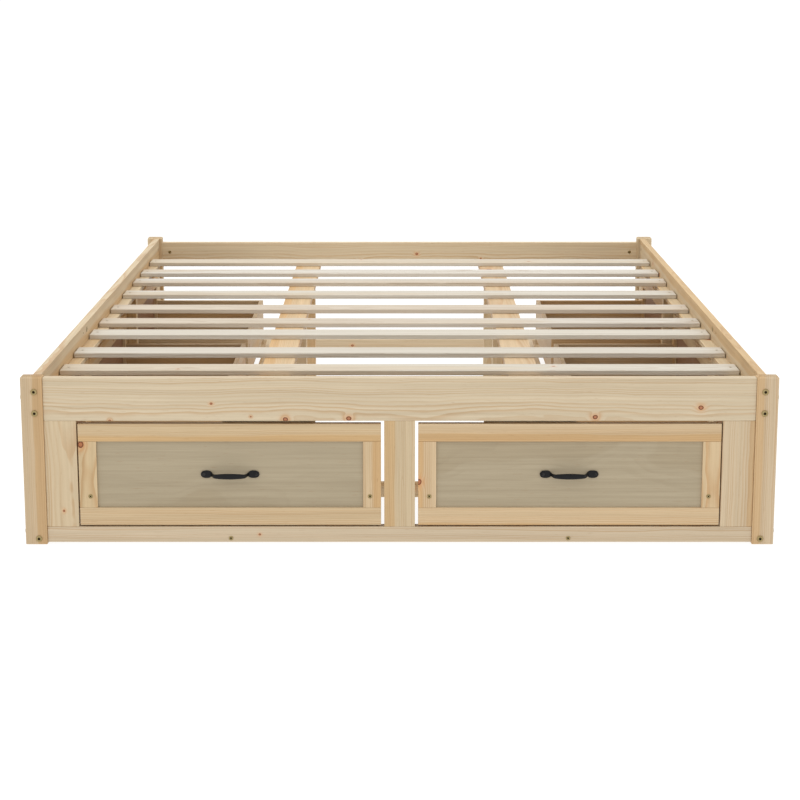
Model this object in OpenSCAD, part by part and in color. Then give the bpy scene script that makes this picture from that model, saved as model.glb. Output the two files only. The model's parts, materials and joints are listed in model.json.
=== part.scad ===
// Platform bed in solid pine with six storage drawers: two at the foot, two on each side.
// Frame: X across the bed, Y from foot to head, Z up. The origin is on the floor, at the
// centre of the space the whole bed takes up, drawer pulls included. All lengths are in mm.
// Depths named "from the foot" are measured from the outer face of the foot posts.

/* [Overall] */
// Width across the outer faces of the posts
bed_w = 1635; // [1600:5:1680]
// Length over the posts, foot to head
bed_len = 2089; // [2080:1:2110]
// Height of the posts
bed_h = 376; // [370:1:400]

/* [Boards] */
// Post size across the bed
post_w = 47; // [44:1:52]
// Post size along the bed
post_d = 28; // [27:1:32]
// Thickness of the foot and head rails and stiles
end_board_t = 22; // [18:1:24]
// Thickness of the side boards, drawer fronts and runners
board_t = 18; // [15:1:19]
// Height of the top edge of the rails above the floor
rail_top = 372; // [366:1:372]
// Height of the lower edge of the top rails
rail_low = 277; // [275:1:280]
// Height of the lower edge of the head's top rail
head_rail_low = 282; // [278:1:300]
// Height of the top of the head rail, which is lower than the other top rails
head_rail_top = 360; // [350:1:366]
// Gap between the bottom rails and the floor
floor_gap = 4; // [2:1:8]
// Height of the top edge of the bottom rails and runners
sill_top = 39; // [36:1:40]

/* [Slats] */
// Slat width
slat_w = 70; // [60:1:76]
// Slat thickness
slat_t = 12; // [10:1:14]
// Height of the face the mattress lies on
slat_top = 336; // [334:1:340]
// Gap between a slat's end and the side rail
slat_end_gap = 2; // [1:0.5:4]

/* [Drawers] */
// Width of a drawer front
front_w = 657; // [650:1:658]
// Height of a drawer front
front_h = 227; // [224:1:228]
// Width of the four members that frame a front's panel
front_member = 39; // [36:1:42]
// How deep the panel sits behind the front's face
panel_recess = 5; // [4:0.5:6]
// Thickness of the front's panel and the drawer bottom
ply_t = 4; // [3:0.5:5]
// Outer width of a drawer box
box_w = 621; // [600:1:621]
// Depth of a drawer box behind its front
box_depth = 340; // [320:1:340]
// Height of the rim of a drawer box above the floor
box_rim = 184; // [170:1:190]
// Thickness of the drawer box walls
wall_t = 12; // [10:1:14]

/* [Pull] */
// How far a pull stands out from its panel
pull_reach = 27; // [24:1:30]
// Length of a pull over both feet
pull_len = 128; // [124:1:134]

/* [Output] */
// Which sub-part to show

/* [Hidden] */

// Colours of the stock
pine = [0.85, 0.75, 0.60];
pale_pine = [0.87, 0.83, 0.76];
plywood = [0.67, 0.62, 0.51];
black_iron = [0.08, 0.08, 0.09];
zinc = [0.66, 0.62, 0.50];

// Planes of the frame
end_set = 4;                              // foot and head rails sit this far behind the post faces
post_out = bed_w / 2;                     // outer face of the posts
post_in = post_out - post_w;              // inner face of the posts
side_out = post_out - 20;                 // outer face of the side boards
side_in = side_out - board_t;             // inner face of the side boards
chamfer = 3;                              // chamfer round the top of each post
joint_gap = 0.2;                          // hairline between pieces of one sub-part

// Placing along the bed: pulls stand out past the foot posts, bolt heads past the head posts
bolt_head_t = 2.5;
pull_past_post = pull_reach - end_set - panel_recess;
foot_y = -(bed_len + bolt_head_t - pull_past_post) / 2;
head_from_foot = bed_len - post_d;        // inner face of the head posts, from the foot
end_rail_back = end_set + end_board_t;    // inner face of the foot rails, from the foot
head_rail_in = bed_len - end_rail_back;   // inner face of the head rails, from the foot

// Foot end: two drawers between three stiles
front_gap = 3;
foot_drawer_x = 369;                      // centre of a foot drawer
centre_stile_w = 67;
foot_opening_out = foot_drawer_x + front_w / 2 + front_gap;

// Sides: a fixed panel next to the foot, then two drawers, counted from the foot
head_stile_w = 54;
mid_stile_w = 31;
far_opening_end = head_from_foot - head_stile_w;
opening_w = front_w + 2 * front_gap;
far_opening_start = far_opening_end - opening_w;
near_opening_end = far_opening_start - mid_stile_w;
near_opening_start = near_opening_end - opening_w;
near_stile_w = 68;
foot_side_stile_w = 72;
side_drawer_near = (near_opening_start + near_opening_end) / 2;
side_drawer_far = (far_opening_start + far_opening_end) / 2;
upright_t = 27;                           // upright behind the middle stile, under the ledger

// Drawer front and box, in height
front_low = sill_top + 4;
front_top = front_low + front_h;
box_low = sill_top + 1;
bottom_low = box_low + 22;
groove_d = 6;
groove_play = 0.1;

// Slat support
slat_low = slat_top - slat_t;
ledger_w = 28;
ledger_t = 12;
beam_x = 285;
beam_w = 73;
beam_t = 20;
beam_low = slat_low - beam_t;
leg_side = 45;
leg_inner = beam_x - beam_w / 2;
leg_from_foot = [950, 1463];
cleat_w = 202;
cleat_h = 57;
cleat_t = 20;
beam_screw_from_foot = end_rail_back + cleat_t / 2;

// Slats are laid by hand, so their centres are not quite evenly spaced from the foot
slat_from_foot = [85, 280, 472, 695, 848, 1043, 1266, 1469, 1636, 1836];
slat_screw_x = side_in - 17;

// The ledgers and beams stop a little past the last slat
rest_end = slat_from_foot[9] + slat_w / 2 + 30;

// Low rails that carry the inner ends of the runners
inner_rail_out = side_in - box_depth - 5;
back_lap = 11;
cross_rail_from_foot = end_set + board_t + box_depth - back_lap;
cross_rail_end = cross_rail_from_foot + board_t;

// Fasteners: connector bolts with barrel nuts, and countersunk screws
bolt_head_r = 7;
bolt_r = 3;
bolt_hole_r = 3.4;
nut_r = 5;
nut_hole_r = 5.2;
nut_inset = 35;
end_nut_inset = 24;
socket_r = 2.9;
side_bolt_x = side_out - board_t / 2;
side_bolt_z = [13, 294.5, 342];
end_bolt_z = [28, 328.5];
end_bolt_from_face = end_set + end_board_t / 2;
screw_head_r = 4;
front_head_r = 5.5;                       // larger heads, on drawer fronts and bottom rails
screw_r = 1.8;
screw_hole_r = 1.9;
screw_len = 38;
front_screw_z = 108;
guard_bolt_from_foot = 640;               // spare fixing left open in each side rail
guard_bolt_z = 354;
guard_hole_from_foot = 589;

// Pull: two flat feet joined by a bow that is thickest in the middle
pull_foot_w = 22;
pull_foot_h = 17;
pull_foot_t = 3.5;
pull_bar_r = 3.6;
pull_mid_r = 5;
pull_bar_reach = pull_reach - pull_mid_r;  // centre line of the bow, from the panel
pull_bend_r = pull_bar_reach - pull_foot_t + 0.5;
pull_bow_x = pull_len / 2 - 15;
pull_screw_inset = 7;                     // keeps the screw heads clear of the bow's ends
pull_screw_x = pull_len / 2 - pull_screw_inset;
pull_z = 157;

// A box between two corners
module span(low, high) {
    translate(low)
        cube([high[0] - low[0], high[1] - low[1], high[2] - low[2]]);
}

// A cylinder from a point along an axis: 0 for X, 1 for Y, 2 for Z
module rod(start, axis, length, r1, r2) {
    turn = [[0, 90, 0], [-90, 0, 0], [0, 0, 0]];
    translate(start)
        rotate(turn[axis])
            cylinder(h = length, r1 = r1, r2 = r2, $fn = 48);
}

// Moves parts given as depth from the foot into the bed's own frame
module from_foot() {
    translate([0, foot_y, 0])
        children();
}

// Repeats parts of the foot end at the head end, facing the other way
module head_end() {
    translate([0, foot_y + bed_len, 0])
        mirror([0, 1, 0])
            children();
}

// Repeats parts of the right side on the left
module on_side(side) {
    if (side < 0)
        mirror([1, 0, 0])
            children();
    else
        children();
}

module both_sides() {
    for (side = [-1, 1])
        on_side(side)
            children();
}

// ---- posts ----

// Right foot post, from the foot, with its top edges chamfered and its bolt holes
module post_body() {
    difference() {
        intersection() {
            translate([post_in, post_d, 0])
                rotate([90, 0, 0])
                    linear_extrude(post_d)
                        chamfered_top(post_w, bed_h);
            translate([post_in, 0, 0])
                rotate([90, 0, 90])
                    linear_extrude(post_w)
                        chamfered_top(post_d, bed_h);
        }
        for (z = side_bolt_z)
            rod([side_bolt_x, -1, z], 1, post_d + 2, bolt_hole_r, bolt_hole_r);
        for (z = end_bolt_z)
            rod([post_in - 1, end_bolt_from_face, z], 0, post_w + 2, bolt_hole_r, bolt_hole_r);
    }
}

module chamfered_top(w, h) {
    polygon([[0, 0], [w, 0], [w, h - chamfer], [w - chamfer, h], [chamfer, h], [0, h - chamfer]]);
}

module post_foot_left() {
    color(pine) from_foot() on_side(-1) post_body();
}

module post_foot_right() {
    color(pine) from_foot() on_side(1) post_body();
}

module post_head_left() {
    color(pine) head_end() on_side(-1) post_body();
}

module post_head_right() {
    color(pine) head_end() on_side(1) post_body();
}

// ---- foot and head ends ----

// A rail between the posts, drilled at both ends for a bolt and its barrel nut
module end_rail(low, high, bolt_z) {
    difference() {
        span([-post_in, end_set, low], [post_in, end_rail_back, high]);
        both_sides() {
            rod([post_in - end_nut_inset, end_bolt_from_face, bolt_z], 0, end_nut_inset + 1,
                bolt_hole_r, bolt_hole_r);
            rod([post_in - end_nut_inset, end_set + 4, bolt_z], 1, end_board_t,
                nut_hole_r, nut_hole_r);
        }
    }
}

module foot_top_rail() {
    color(pine) from_foot() end_rail(rail_low, rail_top, end_bolt_z[1]);
}

// The foot's bottom rail also has a screw hole for each drawer runner
module foot_bottom_rail() {
    color(pine) from_foot() difference() {
        end_rail(floor_gap, sill_top, end_bolt_z[0]);
        both_sides()
            runner_screw([foot_drawer_x, end_set, 13], 1, screw_hole_r);
    }
}

module head_top_rail() {
    color(pine) head_end() end_rail(head_rail_low, head_rail_top, end_bolt_z[1]);
}

module head_bottom_rail() {
    color(pine) head_end() end_rail(floor_gap, sill_top, end_bolt_z[0]);
}

// Two end stiles and the centre stile
module foot_stiles() {
    color(pine) from_foot() {
        both_sides()
            span([foot_opening_out, end_set, sill_top], [post_in, end_rail_back, rail_low]);
        span([-centre_stile_w / 2, end_set, sill_top],
             [centre_stile_w / 2, end_rail_back, rail_low]);
    }
}

// ---- sides ----

// Holes at both ends of a side rail: along the rail for a bolt, across it for a barrel nut
module side_rail_holes(z) {
    for (end = [0, 1])
        translate([0, end * bed_len, 0])
            mirror([0, end, 0]) {
                rod([side_bolt_x, post_d - 1, z], 1, nut_inset + 1, bolt_hole_r, bolt_hole_r);
                rod([side_in - 1, post_d + nut_inset, z], 0, board_t - 3, nut_hole_r, nut_hole_r);
            }
}

module side_top_rail_body() {
    difference() {
        span([side_in, post_d, rail_low], [side_out, head_from_foot, rail_top]);
        side_rail_holes(side_bolt_z[1]);
        side_rail_holes(side_bolt_z[2]);
        rod([side_in - 1, guard_bolt_from_foot, guard_bolt_z], 0, 13, 7.2, 7.2);
        rod([side_in - 1, guard_hole_from_foot, guard_bolt_z], 0, 13, 3, 3);
    }
}

module side_top_rail_left() {
    color(pine) from_foot() on_side(-1) side_top_rail_body();
}

module side_top_rail_right() {
    color(pine) from_foot() on_side(1) side_top_rail_body();
}

module side_bottom_rails() {
    color(pine) from_foot() both_sides() difference() {
        span([side_in, post_d, floor_gap], [side_out, head_from_foot, sill_top]);
        side_rail_holes(side_bolt_z[0]);
        for (y = [side_drawer_near, side_drawer_far])
            mirror([1, 0, 0])
                runner_screw([-side_out, y, 13], 0, screw_hole_r);
    }
}

// Four stiles on each side, and the upright behind the middle one
module side_stiles() {
    stiles = [
        [post_d, foot_side_stile_w],
        [near_opening_start - near_stile_w, near_stile_w],
        [near_opening_end, mid_stile_w],
        [far_opening_end, head_stile_w]
    ];
    color(pine) from_foot() both_sides() {
        for (stile = stiles)
            span([side_in, stile[0], sill_top], [side_out, stile[0] + stile[1], rail_low]);
        span([side_in - upright_t, near_opening_end, floor_gap],
             [side_in - joint_gap, near_opening_end + mid_stile_w, slat_low - ledger_t]);
    }
}

// The fixed panel that closes each side next to the foot
module side_panels() {
    color(plywood) from_foot() both_sides()
        span([side_out - panel_recess - ply_t, post_d + foot_side_stile_w, sill_top],
             [side_out - panel_recess, near_opening_start - near_stile_w, rail_low]);
}

// ---- slats and their supports ----

module slat_ledgers() {
    color(pine) from_foot() both_sides() difference() {
        span([side_in - ledger_w, post_d, slat_low - ledger_t],
             [side_in, rest_end, slat_low]);
        for (y = slat_from_foot)
            rod([slat_screw_x, y, slat_low - ledger_t - 1], 2, ledger_t + 2,
                screw_hole_r, screw_hole_r);
    }
}

module centre_beams() {
    color(pine) from_foot() both_sides() difference() {
        span([beam_x - beam_w / 2, end_rail_back, beam_low],
             [beam_x + beam_w / 2, rest_end, slat_low]);
        countersunk([beam_x, beam_screw_from_foot, slat_low], beam_t);
    }
}

// Legs under the beams, and the cleats on the foot rail that hold up their ends
module beam_supports() {
    color(pine) from_foot() both_sides() {
        for (y = leg_from_foot)
            span([leg_inner, y, 0], [leg_inner + leg_side, y + leg_side, beam_low]);
        difference() {
            span([beam_x - cleat_w / 2, end_rail_back, beam_low - cleat_h],
                 [beam_x + cleat_w / 2, end_rail_back + cleat_t, beam_low]);
            rod([beam_x, beam_screw_from_foot, beam_low - 20], 2, 21, screw_hole_r, screw_hole_r);
        }
    }
}

// One runner under each drawer, and the low rails that carry their inner ends
module drawer_runners() {
    half = board_t / 2;
    color(pine) from_foot() {
        both_sides() {
            difference() {
                span([foot_drawer_x - half, end_rail_back, floor_gap],
                     [foot_drawer_x + half, cross_rail_from_foot - joint_gap, sill_top]);
                runner_screw([foot_drawer_x, end_set, 13], 1, screw_hole_r);
            }
            for (y = [side_drawer_near, side_drawer_far])
                difference() {
                    span([inner_rail_out + joint_gap, y - half, floor_gap],
                         [side_in, y + half, sill_top]);
                    mirror([1, 0, 0])
                        runner_screw([-side_out, y, 13], 0, screw_hole_r);
                }
            span([inner_rail_out - board_t, cross_rail_end + joint_gap, floor_gap],
                 [inner_rail_out, head_rail_in, sill_top]);
        }
        span([-side_in, cross_rail_from_foot, floor_gap], [side_in, cross_rail_end, sill_top]);
    }
}

module slat(number) {
    y = slat_from_foot[number - 1];
    end = side_in - slat_end_gap;
    color(pale_pine) from_foot() difference() {
        span([-end, y - slat_w / 2, slat_low], [end, y + slat_w / 2, slat_top]);
        both_sides()
            countersunk([slat_screw_x, y, slat_top], slat_t);
    }
}

module slat_01() { slat(1); }
module slat_02() { slat(2); }
module slat_03() { slat(3); }
module slat_04() { slat(4); }
module slat_05() { slat(5); }
module slat_06() { slat(6); }
module slat_07() { slat(7); }
module slat_08() { slat(8); }
module slat_09() { slat(9); }
module slat_10() { slat(10); }

// ---- fasteners ----

// A screw hole through a board of the given thickness, sunk for the head at its top face
module countersunk(top, thickness) {
    rod([top[0], top[1], top[2] - thickness - 1], 2, thickness + 2, screw_hole_r, screw_hole_r);
    rod([top[0], top[1], top[2] - 2.2], 2, 2.3, screw_hole_r, screw_head_r + 0.5);
}

// A countersunk screw that points down from a top face
module flat_screw(top, length) {
    rod([top[0], top[1], top[2] - length], 2, length - 2.2, screw_r, screw_r);
    difference() {
        rod([top[0], top[1], top[2] - 2.2], 2, 2, screw_r, screw_head_r);
        cross_slot(top);
    }
}

module cross_slot(top) {
    for (turn = [0, 90])
        translate([top[0], top[1], top[2] - 0.9])
            rotate([0, 0, turn])
                translate([-1.9, -0.35, 0])
                    cube([3.8, 0.7, 2]);
}

// The path of a screw that goes through a bottom rail into the end of a runner
module runner_screw(start, axis, r) {
    rod(start, axis, screw_len, r, r);
}

// A connector bolt along an axis: flat head with a six-sided socket, and a plain shank
module connector_bolt(start, axis, length) {
    turn = [[0, 90, 0], [-90, 0, 0], [0, 0, 0]];
    translate(start)
        rotate(turn[axis])
            difference() {
                union() {
                    translate([0, 0, -bolt_head_t])
                        cylinder(h = bolt_head_t, r = bolt_head_r, $fn = 48);
                    cylinder(h = length, r = bolt_r, $fn = 48);
                }
                translate([0, 0, -bolt_head_t - 1])
                    cylinder(h = 4, r = socket_r, $fn = 6);
            }
}

// Barrel nut lying along an axis from its start, drilled across for a bolt at a distance in
module barrel_nut(start, axis, length, bolt_axis, bolt_at) {
    hole = [for (i = [0:2])
        start[i] + (i == axis ? bolt_at : 0) - (i == bolt_axis ? nut_r + 1 : 0)];
    difference() {
        rod(start, axis, length, nut_r, nut_r);
        rod(hole, bolt_axis, 2 * nut_r + 2, bolt_r + 0.1, bolt_r + 0.1);
    }
}

// Bolts along the bed hold the side rails, bolts across it hold the end rails
module frame_bolts() {
    color(zinc) from_foot() both_sides() for (end = [0, 1])
        translate([0, end * bed_len, 0])
            mirror([0, end, 0]) {
                for (z = side_bolt_z) {
                    connector_bolt([side_bolt_x, 0, z], 1, post_d + nut_inset + 3);
                    barrel_nut([side_in, post_d + nut_inset, z], 0, board_t - 4.5, 1,
                               side_bolt_x - side_in);
                }
                for (z = end_bolt_z) {
                    mirror([1, 0, 0])
                        connector_bolt([-post_out, end_bolt_from_face, z], 0,
                                       post_w + end_nut_inset + 3);
                    barrel_nut([post_in - end_nut_inset, end_set + 4.2, z], 1,
                               end_board_t - 4.2, 0, end_bolt_from_face - end_set - 4.2);
                }
            }
}

// Screws through the slats into the ledgers, through the beams into their cleats, and
// through the bottom rails into the runners, with a steel cap in each side rail's spare hole
module wood_screws() {
    color(zinc) from_foot() both_sides() {
        for (y = slat_from_foot)
            flat_screw([slat_screw_x, y, slat_top], slat_t + ledger_t - 2);
        flat_screw([beam_x, beam_screw_from_foot, slat_low], beam_t + 18);
        pan_screw([foot_drawer_x, end_set, 13], 1, screw_len - 1, front_head_r);
        for (y = [side_drawer_near, side_drawer_far])
            mirror([1, 0, 0])
                pan_screw([-side_out, y, 13], 0, screw_len - 1, front_head_r);
        rod([side_in - 0.5, guard_bolt_from_foot, guard_bolt_z], 0, 10, 7, 7);
    }
}

// A pan-head screw with a cross slot, driven in along an axis
module pan_screw(start, axis, length, head_r) {
    turn = [[0, 90, 0], [-90, 0, 0], [0, 0, 0]];
    slot_len = 0.95 * head_r;
    translate(start)
        rotate(turn[axis])
            difference() {
                union() {
                    translate([0, 0, -1.4])
                        cylinder(h = 1.4, r1 = head_r - 1, r2 = head_r, $fn = 48);
                    cylinder(h = length, r = screw_r, $fn = 48);
                }
                for (spin = [0, 90])
                    rotate([0, 0, spin])
                        translate([-slot_len / 2, -0.35, -2])
                            cube([slot_len, 0.7, 1.5]);
            }
}

// ---- drawers ----
// Drawer parts are built with their front's outer face on Y = 0 and their depth along +Y.

panel_y = panel_recess + ply_t / 2;

module front_frame() {
    half = front_w / 2;
    stile_low = front_low + front_member;
    stile_top = front_top - front_member;
    groove_low = panel_recess - groove_play;
    groove_high = panel_recess + ply_t + groove_play;
    for (low = [front_low, stile_top])
        difference() {
            span([-half, 0, low], [half, board_t, low + front_member]);
            span([-half + front_member - groove_d, groove_low, stile_low - groove_d],
                 [half - front_member + groove_d, groove_high, stile_top + groove_d]);
        }
    both_sides()
        difference() {
            span([half - front_member, 0, stile_low + joint_gap],
                 [half, board_t, stile_top - joint_gap]);
            span([half - front_member - 1, groove_low, stile_low - 1],
                 [half - front_member + groove_d, groove_high, stile_top + 1]);
            front_screw_path(screw_hole_r, screw_len + 2);
        }
}

// A screw through each stile into the end of the box side behind it
module front_screw_path(r, length) {
    rod([box_w / 2 - wall_t / 2, -1, front_screw_z], 1, length + 1, r, r);
}

module front_panel() {
    x = front_w / 2 - front_member + groove_d - 0.5;
    difference() {
        span([-x, panel_recess, front_low + front_member - groove_d + 0.5],
             [x, panel_recess + ply_t, front_top - front_member + groove_d - 0.5]);
        both_sides()
            rod([pull_screw_x, 0, pull_z], 1, 20, screw_hole_r, screw_hole_r);
    }
}

// Two sides, a back that stands on the bottom, and the bottom in grooves in the sides
module drawer_box() {
    out = box_w / 2;
    inner = out - wall_t;
    back = board_t + box_depth;
    groove_in = wall_t / 2;
    both_sides()
        difference() {
            span([inner, board_t, box_low], [out, back, box_rim]);
            span([inner - 1, board_t - 1, bottom_low - groove_play],
                 [inner + groove_in, back + 1, bottom_low + ply_t + groove_play]);
            front_screw_path(screw_hole_r, screw_len + 2);
        }
    span([-inner + joint_gap, back - wall_t, bottom_low + ply_t + groove_play],
         [inner - joint_gap, back, box_rim]);
    span([-inner - groove_in + 0.5, board_t + joint_gap, bottom_low],
         [inner + groove_in - 0.5, back, bottom_low + ply_t]);
}

// Feet against the panel, and between them a bow that tapers from its middle to two bends
module pull() {
    bar_end = pull_bow_x - pull_bend_r;
    translate([0, panel_recess, pull_z]) {
        both_sides() {
            pull_foot();
            translate([bar_end, -pull_foot_t + 0.5, 0])
                mirror([0, 1, 0])
                    rotate_extrude(angle = 90, $fn = 64)
                        translate([pull_bend_r, 0, 0])
                            circle(r = pull_bar_r, $fn = 32);
        }
        translate([-bar_end, -pull_bar_reach, 0])
            rotate([0, 90, 0])
                rotate_extrude($fn = 48)
                    polygon([[0, 0], [pull_bar_r, 0], [pull_mid_r, bar_end],
                             [pull_bar_r, 2 * bar_end], [0, 2 * bar_end]]);
    }
}

// A flat foot, square towards the bow and round at its outer end, drilled for a screw
module pull_foot() {
    r = pull_foot_h / 2;
    difference() {
        union() {
            rod([pull_len / 2 - r, -pull_foot_t, 0], 1, pull_foot_t, r, r);
            span([pull_len / 2 - pull_foot_w, -pull_foot_t, -r], [pull_len / 2 - r, 0, r]);
        }
        rod([pull_screw_x, -10, 0], 1, 20, screw_hole_r, screw_hole_r);
    }
}

// Two screws that hold the front to the box, and two that hold the pull
module drawer_screws() {
    both_sides() {
        pan_screw([box_w / 2 - wall_t / 2, 0, front_screw_z], 1, screw_len, front_head_r);
        pan_screw([pull_screw_x, panel_recess - pull_foot_t, pull_z], 1, 11, screw_head_r);
    }
}

// Places drawer parts at the foot, on the left for -1 and the right for 1
module foot_drawer(side) {
    translate([side * foot_drawer_x, foot_y + end_set, 0])
        children();
}

// Places drawer parts on a side, centred at a depth from the foot
module side_drawer(side, centre) {
    translate([side * side_out, foot_y + centre, 0])
        rotate([0, 0, side * 90])
            children();
}

module foot_left_front_frame() { color(pine) foot_drawer(-1) front_frame(); }
module foot_left_front_panel() { color(plywood) foot_drawer(-1) front_panel(); }
module foot_left_box() { color(pine) foot_drawer(-1) drawer_box(); }
module foot_left_pull() { color(black_iron) foot_drawer(-1) pull(); }
module foot_left_screws() { color(zinc) foot_drawer(-1) drawer_screws(); }

module foot_right_front_frame() { color(pine) foot_drawer(1) front_frame(); }
module foot_right_front_panel() { color(plywood) foot_drawer(1) front_panel(); }
module foot_right_box() { color(pine) foot_drawer(1) drawer_box(); }
module foot_right_pull() { color(black_iron) foot_drawer(1) pull(); }
module foot_right_screws() { color(zinc) foot_drawer(1) drawer_screws(); }

module left_near_front_frame() { color(pine) side_drawer(-1, side_drawer_near) front_frame(); }
module left_near_front_panel() { color(plywood) side_drawer(-1, side_drawer_near) front_panel(); }
module left_near_box() { color(pine) side_drawer(-1, side_drawer_near) drawer_box(); }
module left_near_pull() { color(black_iron) side_drawer(-1, side_drawer_near) pull(); }
module left_near_screws() { color(zinc) side_drawer(-1, side_drawer_near) drawer_screws(); }

module left_far_front_frame() { color(pine) side_drawer(-1, side_drawer_far) front_frame(); }
module left_far_front_panel() { color(plywood) side_drawer(-1, side_drawer_far) front_panel(); }
module left_far_box() { color(pine) side_drawer(-1, side_drawer_far) drawer_box(); }
module left_far_pull() { color(black_iron) side_drawer(-1, side_drawer_far) pull(); }
module left_far_screws() { color(zinc) side_drawer(-1, side_drawer_far) drawer_screws(); }

module right_near_front_frame() { color(pine) side_drawer(1, side_drawer_near) front_frame(); }
module right_near_front_panel() { color(plywood) side_drawer(1, side_drawer_near) front_panel(); }
module right_near_box() { color(pine) side_drawer(1, side_drawer_near) drawer_box(); }
module right_near_pull() { color(black_iron) side_drawer(1, side_drawer_near) pull(); }
module right_near_screws() { color(zinc) side_drawer(1, side_drawer_near) drawer_screws(); }

module right_far_front_frame() { color(pine) side_drawer(1, side_drawer_far) front_frame(); }
module right_far_front_panel() { color(plywood) side_drawer(1, side_drawer_far) front_panel(); }
module right_far_box() { color(pine) side_drawer(1, side_drawer_far) drawer_box(); }
module right_far_pull() { color(black_iron) side_drawer(1, side_drawer_far) pull(); }
module right_far_screws() { color(zinc) side_drawer(1, side_drawer_far) drawer_screws(); }

post_foot_left();
post_foot_right();
post_head_left();
post_head_right();
foot_top_rail();
foot_bottom_rail();
foot_stiles();
head_top_rail();
head_bottom_rail();
side_top_rail_left();
side_top_rail_right();
side_bottom_rails();
side_stiles();
side_panels();
slat_ledgers();
centre_beams();
beam_supports();
drawer_runners();
frame_bolts();
wood_screws();
slat_01();
slat_02();
slat_03();
slat_04();
slat_05();
slat_06();
slat_07();
slat_08();
slat_09();
slat_10();
foot_left_front_frame();
foot_left_front_panel();
foot_left_box();
foot_left_pull();
foot_left_screws();
foot_right_front_frame();
foot_right_front_panel();
foot_right_box();
foot_right_pull();
foot_right_screws();
left_near_front_frame();
left_near_front_panel();
left_near_box();
left_near_pull();
left_near_screws();
left_far_front_frame();
left_far_front_panel();
left_far_box();
left_far_pull();
left_far_screws();
right_near_front_frame();
right_near_front_panel();
right_near_box();
right_near_pull();
right_near_screws();
right_far_front_frame();
right_far_front_panel();
right_far_box();
right_far_pull();
right_far_screws();
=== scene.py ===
import json
import math
import random

import bmesh
import bpy
from mathutils import Matrix, Vector


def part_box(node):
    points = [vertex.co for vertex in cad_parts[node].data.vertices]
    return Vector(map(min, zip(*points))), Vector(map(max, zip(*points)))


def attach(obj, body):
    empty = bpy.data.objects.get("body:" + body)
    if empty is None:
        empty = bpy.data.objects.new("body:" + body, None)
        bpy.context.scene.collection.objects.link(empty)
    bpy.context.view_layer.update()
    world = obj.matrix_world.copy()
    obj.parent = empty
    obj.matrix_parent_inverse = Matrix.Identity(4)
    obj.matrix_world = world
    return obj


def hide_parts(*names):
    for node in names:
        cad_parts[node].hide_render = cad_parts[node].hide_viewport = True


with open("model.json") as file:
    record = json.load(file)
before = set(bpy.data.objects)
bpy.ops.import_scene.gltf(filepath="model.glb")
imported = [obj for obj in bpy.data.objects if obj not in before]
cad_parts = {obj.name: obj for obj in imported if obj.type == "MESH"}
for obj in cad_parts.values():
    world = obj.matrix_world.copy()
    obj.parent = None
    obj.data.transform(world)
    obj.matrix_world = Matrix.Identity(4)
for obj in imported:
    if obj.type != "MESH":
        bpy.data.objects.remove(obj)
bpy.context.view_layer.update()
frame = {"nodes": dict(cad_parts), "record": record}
RECORD = frame["record"]
MM = 0.001
UP = Vector((0, 0, 1))


# ---------------------------------------------------------------- what the record says

SLOT_OF = {part["node"]: part["material_slot"] for part in RECORD["subparts"]}
BODY_OF = {node: body for body, nodes in RECORD["behaviour"]["bodies"].items() for node in nodes}
OPENS_TOWARDS = {joint["child"]: Vector(joint["axis"]) for joint in RECORD["behaviour"]["joints"]}


# ---------------------------------------------------------------- shader building blocks


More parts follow.
